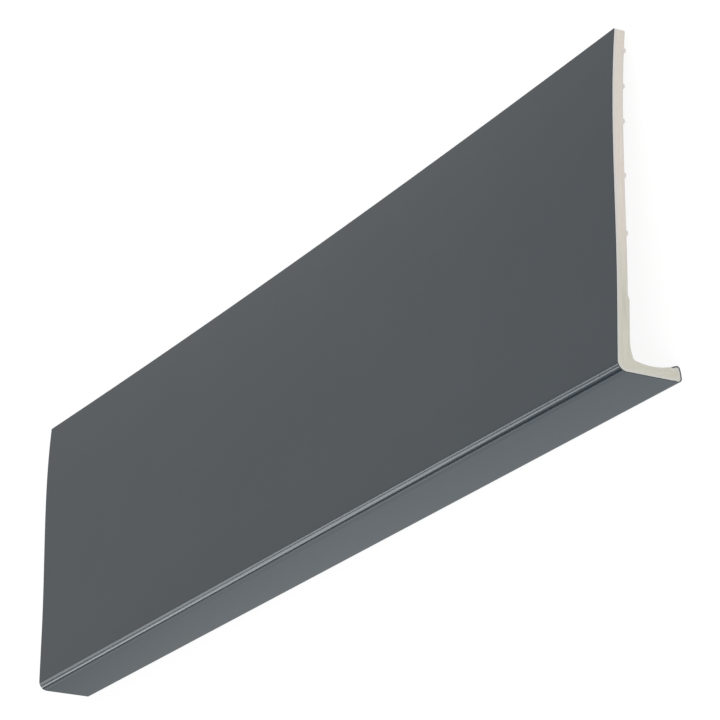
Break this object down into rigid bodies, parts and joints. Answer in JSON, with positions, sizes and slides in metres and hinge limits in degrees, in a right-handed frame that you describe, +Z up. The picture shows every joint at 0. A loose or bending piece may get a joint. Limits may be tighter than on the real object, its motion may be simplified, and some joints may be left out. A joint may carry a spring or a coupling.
{
  "type": "fascia board",
  "caption": "L-section fascia capping board in off-white foamed plastic, with a dark grey skin over its face, rounded lower corner, underside and leg tip, ribs along its back, and a slight bow along its top edge.",
  "frame": {"origin": "on the floor under the middle of the board, which lies face up on its leg and its top back edge", "axes": "+X along the board's length, +Y from the leg towards the top edge, +Z up from the floor; the face leans down towards +Y by about 8.3 degrees"},
  "size_m": [1, 0.2544, 0.0497],
  "materials": {
    "foam": "off-white foamed plastic, sawn at the ends, satin on the back",
    "skin": "smooth satin dark grey skin"
  },
  "bodies": {
    "root": {"foam_board": "foam", "colour_skin": "skin"}
  },
  "joints": []
}
